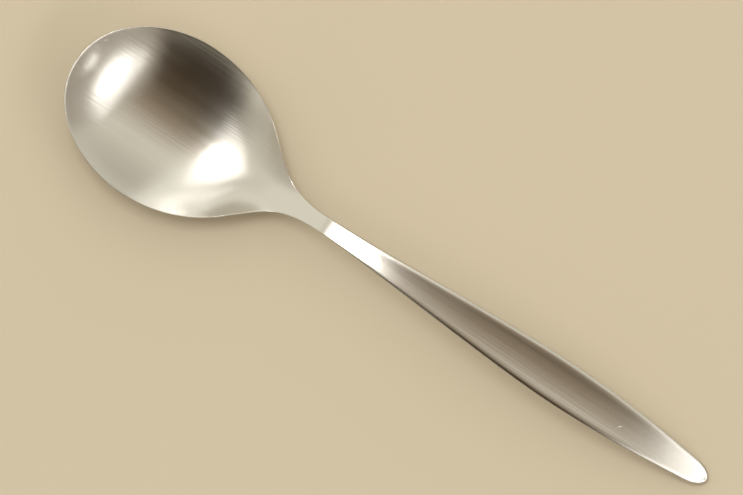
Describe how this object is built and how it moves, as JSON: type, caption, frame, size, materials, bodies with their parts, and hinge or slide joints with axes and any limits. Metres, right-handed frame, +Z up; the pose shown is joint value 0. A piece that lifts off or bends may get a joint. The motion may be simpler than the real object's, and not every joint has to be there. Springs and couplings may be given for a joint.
{
  "type": "soup spoon",
  "caption": "Soup spoon with a round shallow bowl, a narrow folded neck and a slim leaf-shaped handle, made as one piece of satin stainless steel.",
  "frame": {"origin": "middle of the spoon's length and width, on the table that it lies on", "axes": "+X from the bowl's tip to the handle's end, +Z up, out of the bowl's hollow"},
  "size_m": [0.196, 0.0448, 0.0169],
  "materials": {
    "satin_steel": "satin stainless steel, finely brushed along the spoon, with a smoother rim"
  },
  "bodies": {
    "root": {"spoon": "satin_steel"}
  },
  "joints": []
}
